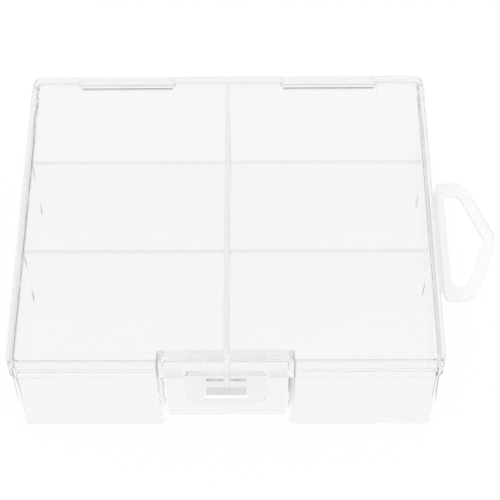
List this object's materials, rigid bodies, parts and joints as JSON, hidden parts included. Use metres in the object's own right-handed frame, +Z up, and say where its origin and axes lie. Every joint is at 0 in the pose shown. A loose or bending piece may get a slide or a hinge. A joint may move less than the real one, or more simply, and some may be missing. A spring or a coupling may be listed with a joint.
{
  "type": "battery case",
  "caption": "Clear hinged-lid battery case: a tray with divided cells, a latch flap over a catch at the front, and a fold-down hang loop on one side.",
  "frame": {"origin": "centre of the tray's underside, on the surface that the case stands on", "axes": "+Z up out of the lid, -Y towards the latch at the front, +X towards the hang loop"},
  "size_m": [0.133, 0.1007, 0.035],
  "materials": {
    "clear_polypropylene": "clear, slightly hazy, smooth and glossy",
    "milky_polypropylene": "milky, with a fine matt grain"
  },
  "bodies": {
    "tray": {"tray_shell": "clear_polypropylene", "long_divider": "clear_polypropylene", "rear_cross_divider_left": "clear_polypropylene", "rear_cross_divider_right": "clear_polypropylene", "front_cross_divider_left": "clear_polypropylene", "front_cross_divider_right": "clear_polypropylene", "latch_catch": "clear_polypropylene"},
    "lid": {"lid_shell": "clear_polypropylene", "hinge_web_left": "clear_polypropylene", "hinge_web_right": "clear_polypropylene"},
    "latch": {"latch_flap": "clear_polypropylene", "latch_web": "clear_polypropylene"},
    "loop": {"hang_loop": "milky_polypropylene", "loop_web": "milky_polypropylene"}
  },
  "joints": [
    {"name": "lid_hinge", "type": "hinge", "parent": "tray", "child": "lid", "pos_m": [0, 0.05075, 0.03045], "axis": [-1, 0, 0], "range_deg": [0, 180], "deforming": ["hinge_web_left", "hinge_web_right"]},
    {"name": "latch_hinge", "type": "hinge", "parent": "lid", "child": "latch", "pos_m": [0, -0.04955, 0.03], "axis": [-1, 0, 0], "range_deg": [0, 110], "deforming": ["latch_web"]},
    {"name": "loop_hinge", "type": "hinge", "parent": "tray", "child": "loop", "pos_m": [0.0588, -0.0062, 0.0275], "axis": [0, 1, 0], "range_deg": [0, 90], "deforming": ["loop_web"]}
  ]
}
